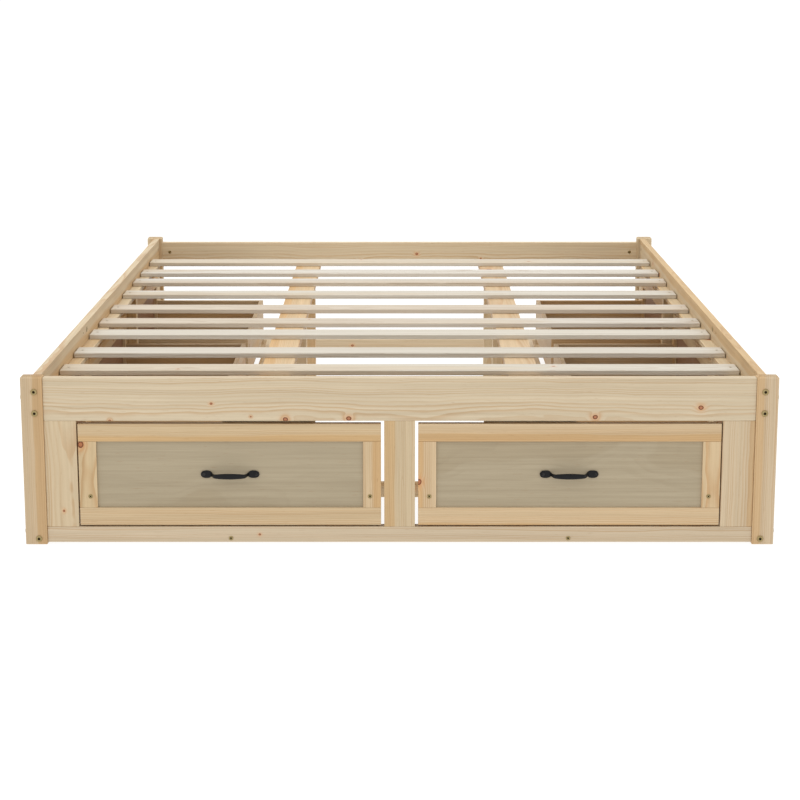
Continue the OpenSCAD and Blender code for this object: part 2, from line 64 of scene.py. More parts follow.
class Graph:
    """A material's node tree, with one short method for each kind of node it uses."""

    def __init__(self, name):
        self.material = bpy.data.materials.new(name)
        self.material.use_nodes = True
        self.tree = self.material.node_tree
        self.tree.nodes.clear()

    def add(self, kind, inputs=(), **settings):
        node = self.tree.nodes.new(kind)
        for key, value in settings.items():
            setattr(node, key, value)
        for key, value in dict(inputs).items():
            socket = node.inputs[key]
            if isinstance(value, bpy.types.NodeSocket):
                self.tree.links.new(value, socket)
            else:
                socket.default_value = value
        return node

    def attribute(self, name, output="Vector"):
        return self.add("ShaderNodeAttribute", attribute_name=name).outputs[output]

    def math(self, operation, first, second=0.0, third=0.0, clamp=False):
        inputs = {0: first, 1: second, 2: third}
        return self.add("ShaderNodeMath", inputs, operation=operation, use_clamp=clamp).outputs[0]

    def vector(self, operation, first, second=(0, 0, 0)):
        node = self.add("ShaderNodeVectorMath", {0: first, 1: second}, operation=operation)
        return node.outputs["Value" if operation == "LENGTH" else "Vector"]

    def noise(self, place, cells, detail=2.0, roughness=0.5, output="Fac"):
        """Noise with a given number of cells per metre along each axis."""
        stretched = self.vector("MULTIPLY", place, cells)
        return self.add("ShaderNodeTexNoise",
                        {"Vector": stretched, "Scale": 1.0, "Detail": detail,
                         "Roughness": roughness}).outputs[output]

    def noise_along(self, value, scale, offset=0.0, detail=1.0):
        """Noise that depends on one number only."""
        at = self.math("MULTIPLY_ADD", value, scale, offset)
        return self.add("ShaderNodeTexNoise", {"W": at, "Scale": 1.0, "Detail": detail},
                        noise_dimensions="1D").outputs["Fac"]

    def step(self, value, start, end, low=0.0, high=1.0):
        """Goes smoothly from low to high while the value goes from start to end."""
        return self.add("ShaderNodeMapRange",
                        {"Value": value, "From Min": start, "From Max": end, "To Min": low,
                         "To Max": high}, interpolation_type="SMOOTHSTEP").outputs["Result"]

    def mix(self, factor, first, second, blend="MIX"):
        node = self.add("ShaderNodeMix", data_type="RGBA", blend_type=blend)
        for socket, value in ((node.inputs[0], factor), (node.inputs[6], first),
                              (node.inputs[7], second)):
            if isinstance(value, bpy.types.NodeSocket):
                self.tree.links.new(value, socket)
            elif isinstance(value, (int, float)):
                socket.default_value = value
            else:
                socket.default_value = (*value, 1.0)
        return node.outputs[2]

    def tint(self, colour, tint):
        """Multiplies a colour by another."""
        return self.mix(1.0, colour, tint, "MULTIPLY")

    def finish(self, bump_strength=None, bump_height=None, bump_distance=0.0004, **inputs):
        """Adds the shader and the output. Keyword names are the shader's inputs."""
        shader = self.add("ShaderNodeBsdfPrincipled",
                          {key.replace("_", " "): value for key, value in inputs.items()})
        if bump_height is not None:
            bump = self.add("ShaderNodeBump", {"Strength": bump_strength, "Height": bump_height,
                                               "Distance": bump_distance})
            self.tree.links.new(bump.outputs[0], shader.inputs["Normal"])
        self.add("ShaderNodeOutputMaterial", {"Surface": shader.outputs[0]})
        return self.material


def linear(red, green, blue):
    """Scene-linear colour of an sRGB colour given as 0 to 255."""
    def channel(value):
        value /= 255
        return value / 12.92 if value <= 0.04045 else ((value + 0.055) / 1.055) ** 2.4
    return tuple(channel(v) for v in (red, green, blue))


# ---------------------------------------------------------------- wood

# Each board carries these attributes, written by make_board():
#   log        place in the tree it was sawn from, in metres: x up the trunk, y and z from the pith
#   heart      how far from the pith the darker heart wood reaches, in metres
#   knot       place from the nearest knot's centre, in units of the knot's radius
#   tone       how much of each colour channel this board shows
#   end_grain  1 on faces sawn across the grain
#   worn       1 on the rounded edges
NO_KNOT = (1000.0, 1000.0, 0.0)

# Noise cells per metre, along the trunk and across it
PITH_WANDER = (2.6, 4.0, 4.0)
RING_RIPPLE = (11.0, 40.0, 40.0)
PATCHES = (2.2, 16.0, 16.0)
STRIPES = (1.4, 95.0, 95.0)
FIBRES = (8.0, 420.0, 420.0)
FLECKS = (38.0, 620.0, 620.0)
HAIRS = (26.0, 1500.0, 1500.0)
KNOT_EDGES = (160.0, 160.0, 160.0)

RIPPLE = 0.004                    # width of the band that a ring strays in, in metres
KNOT_STRETCH = (0.85, 1.0, 0.0)   # a knot is a little longer along the grain
HEART_EDGE = 0.003                # half the width of the change to heart wood, in metres
PLY = 0.0014                      # thickness of one ply, in metres


def sway(graph, log, cells, amount):
    """Offsets across the trunk, of half the amount each way at most."""
    noise = graph.noise(log, cells, output="Color")
    centred = graph.vector("SUBTRACT", noise, (0.5, 0.5, 0.5))
    return graph.vector("MULTIPLY", centred, (0.0, amount, amount))


def pith_distance(graph, log, knot_squared, ring_gap, wander):
    """Distance from the pith, which wanders. It ripples, and swells round a knot."""
    across = graph.vector("MULTIPLY", log, (0.0, 1.0, 1.0))
    wandering = graph.vector("ADD", across, sway(graph, log, PITH_WANDER, wander))
    rippled = graph.vector("ADD", wandering, sway(graph, log, RING_RIPPLE, RIPPLE))
    swell = graph.math("EXPONENT", graph.math("MULTIPLY", knot_squared, -0.22))
    return graph.math("ADD", graph.vector("LENGTH", rippled),
                      graph.math("MULTIPLY", swell, 1.5 * ring_gap))


def ring_lines(graph, log, radius, ring_gap):
    """The dark late wood at the end of each ring. Rings are uneven in width and in boldness."""
    uneven = graph.math("MULTIPLY", graph.noise_along(radius, 0.31 / ring_gap), 1.9)
    count = graph.math("DIVIDE", radius, ring_gap)
    ring = graph.math("FRACT", graph.math("ADD", count, uneven))
    late_wood = graph.math("MULTIPLY", graph.step(ring, 0.3, 0.9),
                           graph.step(ring, 0.93, 1.0, 1.0, 0.0))
    bold_noise = graph.noise_along(radius, 0.2 / ring_gap, 7.0, detail=2.0)
    boldness = graph.step(bold_noise, 0.36, 0.62, 0.15, 1.0)
    patchy = graph.step(graph.noise(log, PATCHES), 0.3, 0.7, 0.5, 1.0)
    return graph.math("MULTIPLY", late_wood, graph.math("MULTIPLY", boldness, patchy))


def add_knot(graph, colour, log, distance, squared):
    """Paints a knot: a pinkish core with rings of its own, a dark rim and an orange halo."""
    rough_edge = graph.math("MULTIPLY", graph.noise(log, KNOT_EDGES), 0.3)
    knot = graph.math("ADD", distance, rough_edge)
    spread = graph.math("EXPONENT", graph.math("MULTIPLY", squared, -0.3))
    halo = graph.math("MULTIPLY", spread, 0.65)
    colour = graph.mix(halo, colour, linear(212, 146, 88))
    knot_ring = graph.math("FRACT", graph.math("MULTIPLY", knot, 3.2))
    core = graph.mix(knot_ring, linear(192, 136, 100), linear(156, 92, 60))
    core = graph.mix(graph.step(knot, 0.62, 0.92), core, linear(104, 54, 32))
    return graph.mix(graph.step(knot, 1.02, 1.2, 1.0, 0.0), colour, core)


def wood_material(name, early, heart, late, ring_gap, wander, contrast, plies=False):
    """Wood sawn from a trunk: growth rings round a wandering pith, fibres, flecks and knots."""
    graph = Graph(name)
    log = graph.attribute("log")
    end_grain = graph.attribute("end_grain", "Fac")
    stretched = graph.vector("MULTIPLY", graph.attribute("knot"), KNOT_STRETCH)
    knot_distance = graph.vector("LENGTH", stretched)
    knot_squared = graph.math("MULTIPLY", knot_distance, knot_distance)
    radius = pith_distance(graph, log, knot_squared, ring_gap, wander)
    line = ring_lines(graph, log, radius, ring_gap)

    # Sap wood, heart wood and ring lines, which are stronger on end grain
    inside = graph.math("SUBTRACT", graph.attribute("heart", "Fac"), radius)
    colour = graph.mix(graph.step(inside, -HEART_EDGE, HEART_EDGE), early, heart)
    strength = graph.math("MULTIPLY_ADD", end_grain, 0.5 * contrast, contrast)
    colour = graph.mix(graph.math("MULTIPLY", line, strength, clamp=True), colour, late)

    # Stripes, fibres and flecks along the grain
    stripe = graph.noise(log, STRIPES, detail=3.0, roughness=0.6)
    colour = graph.tint(colour, graph.mix(stripe, (0.80, 0.785, 0.76), (1.17, 1.19, 1.22)))
    fibre = graph.noise(log, FIBRES, detail=4.0, roughness=0.65)
    colour = graph.tint(colour, graph.mix(fibre, (0.86, 0.845, 0.82), (1.12, 1.13, 1.15)))
    fleck = graph.step(graph.noise(log, FLECKS, detail=1.0), 0.68, 0.8, 0.0, 0.3)
    colour = graph.mix(fleck, colour, linear(150, 104, 62))
    colour = add_knot(graph, colour, log, knot_distance, knot_squared)

    # Faces sawn across the grain drink the light. Rounded edges are painted lighter, partly as wear
    # and partly as a painted highlight where they catch the light
    colour = graph.mix(end_grain, colour, graph.tint(colour, (0.80, 0.745, 0.66)))
    wear_and_sheen = graph.attribute("wear_and_sheen", "Fac")
    colour = graph.mix(wear_and_sheen, colour, graph.tint(colour, (1.09, 1.10, 1.11)))
    if plies:
        depth = graph.add("ShaderNodeSeparateXYZ", {0: log}).outputs[2]
        ply = graph.step(graph.math("PINGPONG", depth, PLY), 0.0004, 0.0009)
        layered = graph.mix(ply, linear(176, 140, 98), linear(122, 88, 58))
        colour = graph.mix(end_grain, colour, layered)
    colour = graph.vector("MULTIPLY", colour, graph.attribute("tone"))

    shine = graph.math("MULTIPLY_ADD", fibre, 0.22, 0.48)
    roughness = graph.math("SUBTRACT", shine, graph.math("MULTIPLY", line, 0.1), clamp=True)
    hair = graph.noise(log, HAIRS)
    height = graph.math("ADD", graph.math("MULTIPLY", hair, 0.5),
                        graph.math("MULTIPLY", line, 0.45))
    height = graph.math("ADD", height, graph.math("MULTIPLY", fibre, 0.35))
    return graph.finish(Base_Color=colour, Roughness=roughness, Specular_IOR_Level=0.25,
                        bump_strength=0.35, bump_height=height)


WOOD = {
    "pine": wood_material("pine", linear(208, 190, 160), linear(205, 177, 136),
                          linear(182, 140, 92), ring_gap=0.0044, wander=0.020, contrast=0.6),
    "slat_pine": wood_material("slat_pine", linear(207, 199, 186), linear(203, 189, 169),
                               linear(168, 144, 116), ring_gap=0.0042, wander=0.014,
                               contrast=0.5),
    "plywood": wood_material("plywood", linear(171, 157, 132), linear(166, 151, 125),
                             linear(150, 134, 108), ring_gap=0.0070, wander=0.080,
                             contrast=0.2, plies=True),
}

# How much of each colour channel a board shows. The first row whose word is in the node's name
# counts, so narrower words come first.
TONES = [
    ("post_foot_left", (0.88, 0.82, 0.76)),
    ("post_foot_right", (0.94, 0.90, 0.86)),
    ("post_head", (0.95, 0.92, 0.88)),
    ("foot_top_rail", (0.97, 0.98, 0.98)),
    ("foot_bottom_rail", (0.93, 0.92, 0.94)),
    ("foot_stiles", (0.93, 0.90, 0.87)),
    ("foot_left_front_frame", (0.92, 0.85, 0.74)),
    ("front_frame", (0.96, 0.88, 0.77)),
    ("_box", (0.80, 0.73, 0.66)),
    ("head_", (1.00, 0.99, 0.97)),
    ("centre_beams", (0.97, 0.86, 0.74)),
    ("slat_01", (0.98, 0.92, 0.84)),
    ("slat_0", (1.0, 1.0, 1.0)),
    ("slat_1", (1.0, 1.0, 1.0)),
    ("panel", (1.0, 1.0, 1.0)),
]
PLAIN_TONE = (0.97, 0.94, 0.89)
# Painted shade: the backs of plywood panels, inside the drawers, get a darker, redder tone that
# stands in for shade and warm bounced light
PANEL_BACK_SHADE_TONE = Vector((0.74, 0.50, 0.40))

# How some boards were sawn: the pith's place across the board and behind its face, how far the
# heart wood reaches from the pith, all in millimetres, and how much the board leans along the
# trunk. Boards of a node are counted from the left, then from the foot, then from the floor.
SAWN = {
    ("post_foot_left", 0): (74, 12, 76, 0.003),
    ("post_foot_right", 0): (-82, 10, 78, -0.002),
    ("foot_top_rail", 0): (-46, 42, 46, 0.003),
    ("foot_bottom_rail", 0): (-88, 6, 30, 0.001),
    ("foot_stiles", 0): (20, 52, 59, 0.012),
    ("foot_stiles", 1): (-70, 14, 66, 0.006),
    ("foot_stiles", 2): (60, 34, 57, -0.006),
    ("foot_left_front_frame", 0): (-74, 10, 40, 0.002),
    ("foot_left_front_frame", 1): (3, 48, 52, -0.03),
    ("foot_left_front_frame", 2): (-80, 8, 78, 0.001),
    ("foot_left_front_frame", 3): (64, 8, 63, 0.006),
    ("foot_right_front_frame", 0): (-66, 12, 52, 0.002),
    ("foot_right_front_frame", 1): (-60, 8, 52, 0.004),
    ("foot_right_front_frame", 2): (-80, 8, 77, -0.001),
    ("foot_right_front_frame", 3): (4, 44, 46, 0.024),
    ("head_top_rail", 0): (-30, 46, 52, 0.003),
}

# Knots that show: along the board from its middle, across it, and radius, in millimetres
KNOTS = {
    ("foot_top_rail", 0): [(-627, -47, 2.5), (-407, -9, 2.6), (-322, -38, 1.8), (-247, -44, 5),
                           (-110, -42, 5), (423, -39, 5), (651, -18, 5)],
    ("foot_bottom_rail", 0): [(-306, 0, 2.2)],
    ("foot_stiles", 0): [(-83, 3, 2.4)],
    ("foot_left_front_frame", 1): [(68, -14, 6.5)],
    ("foot_right_front_frame", 1): [(-16, -18, 6)],
    ("centre_beams", 1): [(780, -9, 8)],
    ("slat_10", 0): [(-120, 20, 2.5), (402, -12, 3)],
    ("slat_05", 0): [(-236, 18, 2.5)],
    ("slat_02", 0): [(-508, -20, 2.5), (355, 9, 3)],
}

MERGE = 0.01 * MM            # corners closer than this are one corner
FLAT = math.radians(0.5)     # faces that meet at less than this are one face
SHARP = math.radians(20)     # edges sharper than this are rounded
LONG_EDGE = 6 * MM           # and only if they are longer than this
END_GRAIN = 0.8              # how squarely an end-grain face looks along the board
FLAT_SAWN_SHARE = 0.55
KNOTTY_LENGTH = 0.5          # boards shorter than this, in metres, get no random knots
TONE_SPREAD = 0.03
EDGE_ROUND = {"pine": 1.3 * MM, "slat_pine": 1.8 * MM, "plywood": 0.3 * MM}
FRONT_EDGE_ROUND = 0.7 * MM


def solids_of(node):
    """The separate solids of a CAD node as bmeshes, in order of their lowest corners."""
    whole = bmesh.new()
    whole.from_mesh(frame["nodes"][node].data)
    bmesh.ops.remove_doubles(whole, verts=whole.verts, dist=MERGE)
    bmesh.ops.dissolve_limit(whole, angle_limit=FLAT, verts=whole.verts, edges=whole.edges)
    whole.verts.index_update()
    seen, groups = set(), []
    for first in whole.verts:
        if first.index in seen:
            continue
        group, todo = {first.index}, [first]
        while todo:
            for edge in todo.pop().link_edges:
                for vert in edge.verts:
                    if vert.index not in group:
                        group.add(vert.index)
                        todo.append(vert)
        seen |= group
        groups.append(group)
    solids = []
    for group in groups:
        solid = whole.copy()
        solid.verts.ensure_lookup_table()
        others = [vert for vert in solid.verts if vert.index not in group]
        bmesh.ops.delete(solid, geom=others, context="VERTS")
        solids.append(solid)
    whole.free()
    return sorted(solids, key=lambda solid: tuple(round(c, 4) for c in box_of(solid)[0]))


def box_of(solid):
    """Lowest and highest corner of a bmesh."""
    low = Vector(min(vert.co[i] for vert in solid.verts) for i in range(3))
    high = Vector(max(vert.co[i] for vert in solid.verts) for i in range(3))
    return low, high


def board_axes(solid):
    """Centre, size, and the axes along the grain, across the width and through the thickness."""
    low, high = box_of(solid)
    size = high - low
    grain, width, thick = sorted(range(3), key=lambda i: -size[i])
    axes = [Vector(1.0 if i == axis else 0.0 for i in range(3)) for axis in (grain, width, thick)]
    return (low + high) / 2, Vector((size[grain], size[width], size[thick])), axes


def round_edges(solid, radius):
    """Rounds a board's long sharp edges, and returns the new faces."""
    edges = [edge for edge in solid.edges
             if edge.is_manifold and edge.calc_face_angle(0) > SHARP
             and edge.calc_length() > LONG_EDGE]
    result = bmesh.ops.bevel(solid, geom=edges, offset=radius, offset_type="OFFSET", segments=2,
                             profile=0.5, affect="EDGES", clamp_overlap=True)
    return set(result["faces"])


def tree_place(node, number, dice, size):
    """Where in the tree a board was sawn: its middle's place, how it leans, the heart's radius."""
    up_the_trunk = dice.uniform(0, 40)
    side = dice.choice((-1, 1))
    if (node, number) in SAWN:
        across, behind, heart, lean = SAWN[node, number]
        middle = Vector((up_the_trunk, -across * MM, -behind * MM))
        return middle, lean, dice.uniform(-0.004, 0.004), heart * MM
    if SLOT_OF[node] == "plywood":
        return Vector((up_the_trunk, dice.uniform(-0.1, 0.1), 0.30)), 0.0, 0.004, 0.30
    if dice.random() < FLAT_SAWN_SHARE:
        # Flat sawn: the pith lies behind the wide face, so the rings run out in arches
        behind = dice.uniform(0.05, 0.10)
        middle = Vector((up_the_trunk, dice.uniform(-0.3, 0.3) * size.y, side * behind))
        heart = behind + dice.uniform(-0.008, 0.012)
        return middle, dice.uniform(-0.006, 0.006), side * dice.uniform(0.006, 0.02), heart
    # Rift sawn: the pith lies beyond an edge, so the rings run along the board
    beyond = dice.uniform(0.05, 0.12)
    middle = Vector((up_the_trunk, side * beyond, dice.uniform(-0.04, 0.04)))
    heart = beyond + dice.uniform(-0.5, 0.3) * size.y
    return middle, dice.uniform(-0.008, 0.008), dice.uniform(-0.006, 0.006), heart


def knots_of(node, number, dice, size):
    """The board's knots in metres, in order along it: those listed, or up to three by chance."""
    if (node, number) in KNOTS:
        return sorted(tuple(value * MM for value in knot) for knot in KNOTS[node, number])
    if SLOT_OF[node] != "pine" or size.x < KNOTTY_LENGTH or "foot" in node:
        return []
    return sorted((dice.uniform(-0.45, 0.45) * size.x, dice.uniform(-0.4, 0.4) * size.y,
                   dice.uniform(0.002, 0.006)) for _ in range(dice.randrange(4)))


def tone_of(node, dice):
    """A board's tone, which differs a little from that of its neighbours."""
    tone = next((tone for word, tone in TONES if word in node), PLAIN_TONE)
    light = 1 + dice.uniform(-TONE_SPREAD, TONE_SPREAD)
    yellow = dice.uniform(-TONE_SPREAD, TONE_SPREAD)
    return Vector((tone[0] * light, tone[1] * light, tone[2] * light * (1 - yellow)))


def make_board(solid, node, number):
    """Rounds a solid's edges, and writes on it the attributes that the wood shader reads."""
    dice = random.Random(f"{node} {number}")
    log = solid.verts.layers.float_vector.new("log")
    tone = solid.verts.layers.float_vector.new("tone")
    heart = solid.verts.layers.float.new("heart")
    end_grain = solid.faces.layers.float.new("end_grain")
    wear_and_sheen = solid.faces.layers.float.new("wear_and_sheen")
    knot = solid.loops.layers.float_vector.new("knot")
    centre, size, axes = board_axes(solid)
    slot = SLOT_OF[node]
    # Rounded edge faces are marked for the lighter colour: wear, and a painted highlight
    for face in round_edges(solid, FRONT_EDGE_ROUND if "front" in node else EDGE_ROUND[slot]):
        face[wear_and_sheen] = 1.0

    # Cut across the grain between knots, so that each stretch of the board has one knot
    knots = knots_of(node, number, dice, size)
    cuts = [(first[0] + second[0]) / 2 for first, second in zip(knots, knots[1:])]
    for cut in cuts:
        bmesh.ops.bisect_plane(solid, geom=solid.verts[:] + solid.edges[:] + solid.faces[:],
                               plane_co=centre + axes[0] * cut, plane_no=axes[0])

    middle, lean_y, lean_z, heart_radius = tree_place(node, number, dice, size)
    board_tone = tone_of(node, dice)
    # A drawer's panel faces the way it opens, and a fixed panel faces its side of the bed
    outward = OPENS_TOWARDS.get(BODY_OF[node], Vector((centre.x, 0, 0)))
    for vert in solid.verts:
        along, wide, deep = ((vert.co - centre).dot(axis) for axis in axes)
        vert[log] = middle + Vector((along, wide + lean_y * along, deep + lean_z * along))
        vert[tone] = board_tone
        vert[heart] = heart_radius
        # Painted shade: a plywood panel's back gets the darker, redder back tone
        if slot == "plywood" and (vert.co - centre).dot(outward) < 0:
            vert[tone] = PANEL_BACK_SHADE_TONE
    solid.normal_update()
    for face in solid.faces:
        face[end_grain] = float(abs(face.normal.dot(axes[0])) > END_GRAIN)
        face.smooth = face[wear_and_sheen] > 0.5
        stretch = sum((face.calc_center_median() - centre).dot(axes[0]) > cut for cut in cuts)
        for loop in face.loops:
            loop[knot] = NO_KNOT
            if knots:
                at, off, radius = knots[stretch]
                place = loop.vert.co - centre
                loop[knot] = ((place.dot(axes[0]) - at) / radius,
                              (place.dot(axes[1]) - off) / radius, 0)


def make_boards(node):
    """Replaces a wooden CAD node with boards of the same size, sawn from a tree."""
    whole = bmesh.new()
    for number, solid in enumerate(solids_of(node)):
        make_board(solid, node, number)
        part = bpy.data.meshes.new("part")
        solid.to_mesh(part)
        solid.free()
        whole.from_mesh(part)
        bpy.data.meshes.remove(part)
    mesh = bpy.data.meshes.new(node + "_wood")
    whole.to_mesh(mesh)
    whole.free()
    mesh.materials.append(WOOD[SLOT_OF[node]])
    place_piece(node + "_wood", mesh, node)


def place_piece(name, mesh, node):
    """Adds a mesh to the scene in place of a CAD node, on the body it belongs to."""
    piece = bpy.data.objects.new(name, mesh)
    bpy.context.scene.collection.objects.link(piece)
    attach(piece, BODY_OF[node])
    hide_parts(node)


# ---------------------------------------------------------------- metal


def zinc_material():
    """Yellow zinc plate: cloudy, with fine turning marks, and painted shade in its recesses."""
    graph = Graph("zinc")
    place = graph.add("ShaderNodeTexCoord").outputs["Object"]
    cloud = graph.noise(place, (260, 260, 260), detail=3.0)
    scratch = graph.noise(place, (2600, 2600, 700))
    colour = graph.mix(cloud, linear(138, 120, 80), linear(184, 166, 122))
    # Painted shade: the faces of sockets, cross recesses and slots are darkened
    colour = graph.mix(graph.attribute("recess", "Fac"), colour, linear(52, 43, 27))
    roughness = graph.step(scratch, 0.2, 0.8, 0.24, 0.48)
    return graph.finish(Base_Color=colour, Roughness=roughness, Metallic=1.0,
                        bump_strength=0.2, bump_height=scratch, bump_distance=0.0001)


def iron_material():
    """Black painted cast iron: a fine orange-peel skin, its high places painted lighter, partly as
    rubbed paint and partly as a painted highlight, and painted shade in its recesses.
    """
    graph = Graph("black_iron")
    place = graph.add("ShaderNodeTexCoord").outputs["Object"]
    peel = graph.noise(place, (1100, 1100, 1100))
    cloud = graph.noise(place, (90, 90, 90), detail=3.0)
    pointed = graph.add("ShaderNodeNewGeometry").outputs["Pointiness"]
    # High, pointed places are lighter: partly rubbed paint, partly a painted highlight
    rubbed_and_highlit = graph.math("MULTIPLY", graph.step(pointed, 0.52, 0.6),
                        graph.step(cloud, 0.35, 0.6), clamp=True)
    colour = graph.mix(cloud, linear(8, 8, 9), linear(22, 22, 24))
    colour = graph.mix(rubbed_and_highlit, colour, linear(74, 72, 70))
    # Painted shade: the faces of sockets and cross recesses are darkened
    colour = graph.mix(graph.attribute("recess", "Fac"), colour, linear(6, 6, 6))
    roughness = graph.step(cloud, 0.3, 0.7, 0.26, 0.4)
    return graph.finish(Base_Color=colour, Roughness=roughness, Specular_IOR_Level=0.2,
                        bump_strength=0.25, bump_height=peel, bump_distance=0.0002)


ZINC = zinc_material()
IRON = iron_material()
SEGMENTS = 48

# Fasteners, in millimetres unless MM is named
BOLT_HEAD = 2.5              # heights of the heads
PAN_HEAD = 1.4
CAP_HEAD = 0.5
BOLT_RADIUS_MIN = 6          # a head of a larger radius is a bolt's
PULL_SCREW_MAX = 15          # a pan-head screw shorter than this holds a pull
HEAD_ZONE = 1.2 * MM         # how far in from its end a fastener is measured
WIDER_BY = 0.1 * MM          # the head's end is wider than the other by more than this
ROUND_WITHIN = 0.2 * MM      # a cap's two widths are the same to within this


def circle(_angle):
    """Distance to the side of a round section, whatever the angle."""
    return 1.0


def hexagon(angle):
    """Distance to the side of a six-sided hole whose corners are at 1."""
    return math.cos(math.pi / 6) / math.cos((angle + math.pi / 6) % (math.pi / 3) - math.pi / 6)


def cross(angle):
    """Distance to the side of a cross-shaped recess whose arms reach to 1."""
    turn = (angle + math.pi / 4) % (math.pi / 2) - math.pi / 4
    half_width = 0.26
    if abs(math.tan(turn)) < half_width:
        return 1 / math.cos(turn)
    return half_width / abs(math.sin(turn))


def slot_shape(angle):
    """Distance to the side of a screwdriver slot whose ends are at 1."""
    half_width = 0.16
    return min(1.0, half_width / max(abs(math.sin(angle)), 1e-6))


def turned(bm, place, rings):
    """Adds a turned solid. rings go from its outer end inwards: (shape, radius, height) in mm."""
    # The recess layer marks the faces of sockets, cross recesses and slots, which the metal shaders
    # darken as painted shade
    recess = bm.faces.layers.float.get("recess") or bm.faces.layers.float.new("recess")
    loops = []
    for shape, radius, height in rings:
        loop = []
        for i in range(SEGMENTS):
            angle = 2 * math.pi * i / SEGMENTS
            reach = radius * shape(angle)
            point = Vector((reach * math.cos(angle), reach * math.sin(angle), height)) * MM
            loop.append(bm.verts.new(place @ point))
        loops.append(loop)
    for (shape, _, _), upper, lower in zip(rings[1:], loops, loops[1:]):
        for i in range(SEGMENTS):
            j = (i + 1) % SEGMENTS
            face = bm.faces.new((upper[i], lower[i], lower[j], upper[j]))
            face[recess] = float(shape is not circle)
    bottom = bm.faces.new(loops[0])
    bottom[recess] = float(rings[0][0] is not circle)
    bm.faces.new(loops[-1][::-1])


def bolt_rings(length):
    """A connector bolt's low domed head with a six-sided socket, and its shank."""
    return [(hexagon, 3.2, -0.6), (hexagon, 3.2, 2.2), (hexagon, 3.4, 2.4), (circle, 4.6, 2.5),
            (circle, 5.8, 2.35), (circle, 6.6, 1.9), (circle, 7.0, 1.2), (circle, 7.0, 0.2),
            (circle, 6.8, 0.0), (circle, 3.0, 0.0), (circle, 3.0, 1.2 - length),
            (circle, 2.1, -length)]


def pan_rings(length, radius):
    """A pan-head screw with a cross recess and a head of a given radius."""
    head = [(cross, 0.25, -0.2), (cross, 0.55, 1.05), (cross, 0.6, 1.2), (circle, 0.7, 1.3),
            (circle, 0.85, 1.15), (circle, 0.95, 0.75), (circle, 1.0, 0.3), (circle, 0.97, 0.0)]
    shank = [(circle, 1.8, 0.0), (circle, 1.8, 3.0 - length), (circle, 0.3, -length)]
    return [(shape, share * radius, up) for shape, share, up in head] + shank


def flat_rings(length):
    """A countersunk screw with a cross recess, its face just under the wood."""
    return [(cross, 0.8, -1.3), (cross, 1.8, -0.25), (cross, 2.0, -0.2), (circle, 2.6, -0.2),
            (circle, 3.85, -0.2), (circle, 4.0, -0.35), (circle, 1.8, -2.3),
            (circle, 1.8, 3.0 - length), (circle, 0.3, -length)]


def nut_rings(length):
    """A barrel nut with a screwdriver slot in its end."""
    return [(slot_shape, 4.1, -1.6), (slot_shape, 4.2, -0.5), (circle, 4.4, -0.35),
            (circle, 4.75, -0.5), (circle, 5.0, -0.8), (circle, 5.0, 0.3 - length),
            (circle, 4.7, -length)]


def cap_rings(length):
    """A steel cap with a rolled rim and a dimple."""
    return [(circle, 1.2, -0.25), (circle, 2.2, 0.1), (circle, 4.8, 0.35), (circle, 6.2, 0.5),
            (circle, 6.8, 0.35), (circle, 7.0, 0.0), (circle, 7.0, 0.5 - length)]


def head_end(solid, centre, axis, half):
    """Which end of a fastener is wider, as 1 or -1 along its axis, and that end's radius."""
    radii = {}
    for sign in (-1, 1):
        places = [vert.co - centre for vert in solid.verts]
        near = [at for at in places if at.dot(axis) * sign > half - HEAD_ZONE]
        radii[sign] = max((at - axis * at.dot(axis)).length for at in near)
    sign = 1 if radii[1] > radii[-1] + WIDER_BY else -1
    return sign, radii[sign] / MM


def fastener_axis(solid):
    """A fastener's centre, its axis and its length. Only a cap is wider than it is long."""
    centre, size, axes = board_axes(solid)
    is_cap = abs(size.x - size.y) < ROUND_WITHIN
    along = 2 if is_cap else 0
    return centre, axes[along], size[along], is_cap


def make_fasteners(node):
    """Replaces a node of bolts, nuts and screws with detailed ones in the same places."""
    plated, painted = bmesh.new(), bmesh.new()
    for solid in solids_of(node):
        centre, axis, length, is_cap = fastener_axis(solid)
        sign, radius = head_end(solid, centre, axis, length / 2)
        solid.free()
        metal = plated
        long_mm = length / MM
        inwards = -1 if centre.dot(axis) > 0 else 1
        if is_cap:
            rings, head, sign = cap_rings(long_mm), CAP_HEAD, inwards
        elif radius > BOLT_RADIUS_MIN:
            rings, head = bolt_rings(long_mm - BOLT_HEAD), BOLT_HEAD
        elif node == "frame_bolts":
            rings, head, sign = nut_rings(long_mm), 0.0, inwards
        elif abs(axis.z) > 0.5:
            rings, head, sign = flat_rings(long_mm), 0.0, 1
        else:
            rings, head = pan_rings(long_mm - PAN_HEAD, radius), PAN_HEAD
            if long_mm < PULL_SCREW_MAX:
                metal = painted
        outward = axis * sign
        side = outward.orthogonal().normalized()
        place = Matrix((side, outward.cross(side), outward)).transposed().to_4x4()
        place.translation = centre + outward * (length / 2 - head * MM)
        turned(metal, place, rings)
    add_metal(node + "_zinc", plated, ZINC, node)
    add_metal(node + "_black", painted, IRON, node)


def add_metal(name, bm, material, node, sharp_above=32):
    """Adds a smooth-shaded metal piece made from a bmesh, unless the bmesh is empty."""
    if bm.faces:
        bmesh.ops.recalc_face_normals(bm, faces=bm.faces)
        mesh = bpy.data.meshes.new(name)
        bm.to_mesh(mesh)
        mesh.materials.append(material)
        mesh.polygons.foreach_set("use_smooth", [True] * len(mesh.polygons))
        mesh.set_sharp_from_angle(angle=math.radians(sharp_above))
        place_piece(name, mesh, node)
    bm.free()


